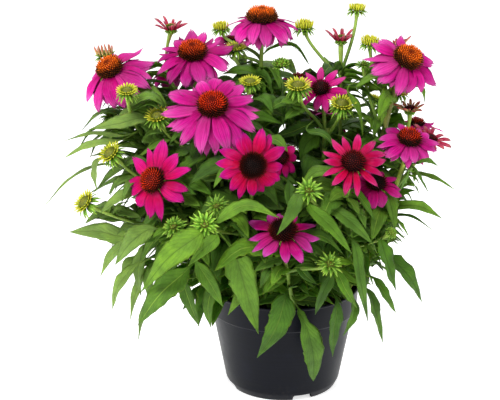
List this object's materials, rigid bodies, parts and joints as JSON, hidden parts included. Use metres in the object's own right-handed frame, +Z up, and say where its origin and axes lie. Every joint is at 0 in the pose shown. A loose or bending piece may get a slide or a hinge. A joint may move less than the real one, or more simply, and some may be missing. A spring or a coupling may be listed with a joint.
{
  "type": "potted coneflower plant",
  "caption": "Purple coneflower in a round nursery pot: leafy branching stems, pink petals around bristly orange-brown cones, green buds.",
  "frame": {"origin": "centre of the pot's flat base, on the surface the pot stands on", "axes": "+Z up, the pictured side faces -Y, +X to the right in the picture"},
  "size_m": [0.4856, 0.3832, 0.4685],
  "materials": {
    "pot": "dark blue-black moulded nursery pot, faint sheen",
    "soil": "moist dark potting soil with bark",
    "leaf": "living green stems, leaves, bracts and buds, slightly hairy",
    "petal": "soft magenta-pink ray petals",
    "cone": "stiff orange-brown bristles over a dark cone"
  },
  "bodies": {
    "root": {"pot": "pot", "soil": "soil", "stem_01": "leaf", "stem_02": "leaf", "stem_03": "leaf", "stem_04": "leaf", "stem_05": "leaf", "stem_06": "leaf", "stem_07": "leaf", "stem_08": "leaf", "stem_09": "leaf", "stem_10": "leaf", "stem_11": "leaf", "stem_12": "leaf", "stem_13": "leaf", "stem_14": "leaf", "petals_01": "petal", "petals_02": "petal", "petals_03": "petal", "petals_04": "petal", "petals_05": "petal", "petals_06": "petal", "petals_07": "petal", "petals_08": "petal", "petals_09": "petal", "petals_10": "petal", "petals_11": "petal", "petals_12": "petal", "petals_13": "petal", "petals_14": "petal", "petals_15": "petal", "petals_16": "petal", "petals_17": "petal", "petals_18": "petal", "cone_01": "cone", "cone_02": "cone", "cone_03": "cone", "cone_04": "cone", "cone_05": "cone", "cone_06": "cone", "cone_07": "cone", "cone_08": "cone", "cone_09": "cone", "cone_10": "cone", "cone_11": "cone", "cone_12": "cone", "cone_13": "cone", "cone_14": "cone", "cone_15": "cone", "cone_16": "cone", "cone_17": "cone", "cone_18": "cone", "rays_19": "petal", "rays_20": "petal", "rays_21": "petal", "rays_22": "petal", "rays_23": "petal", "rays_24": "petal", "cone_23": "cone", "cone_24": "cone"}
  },
  "joints": []
}
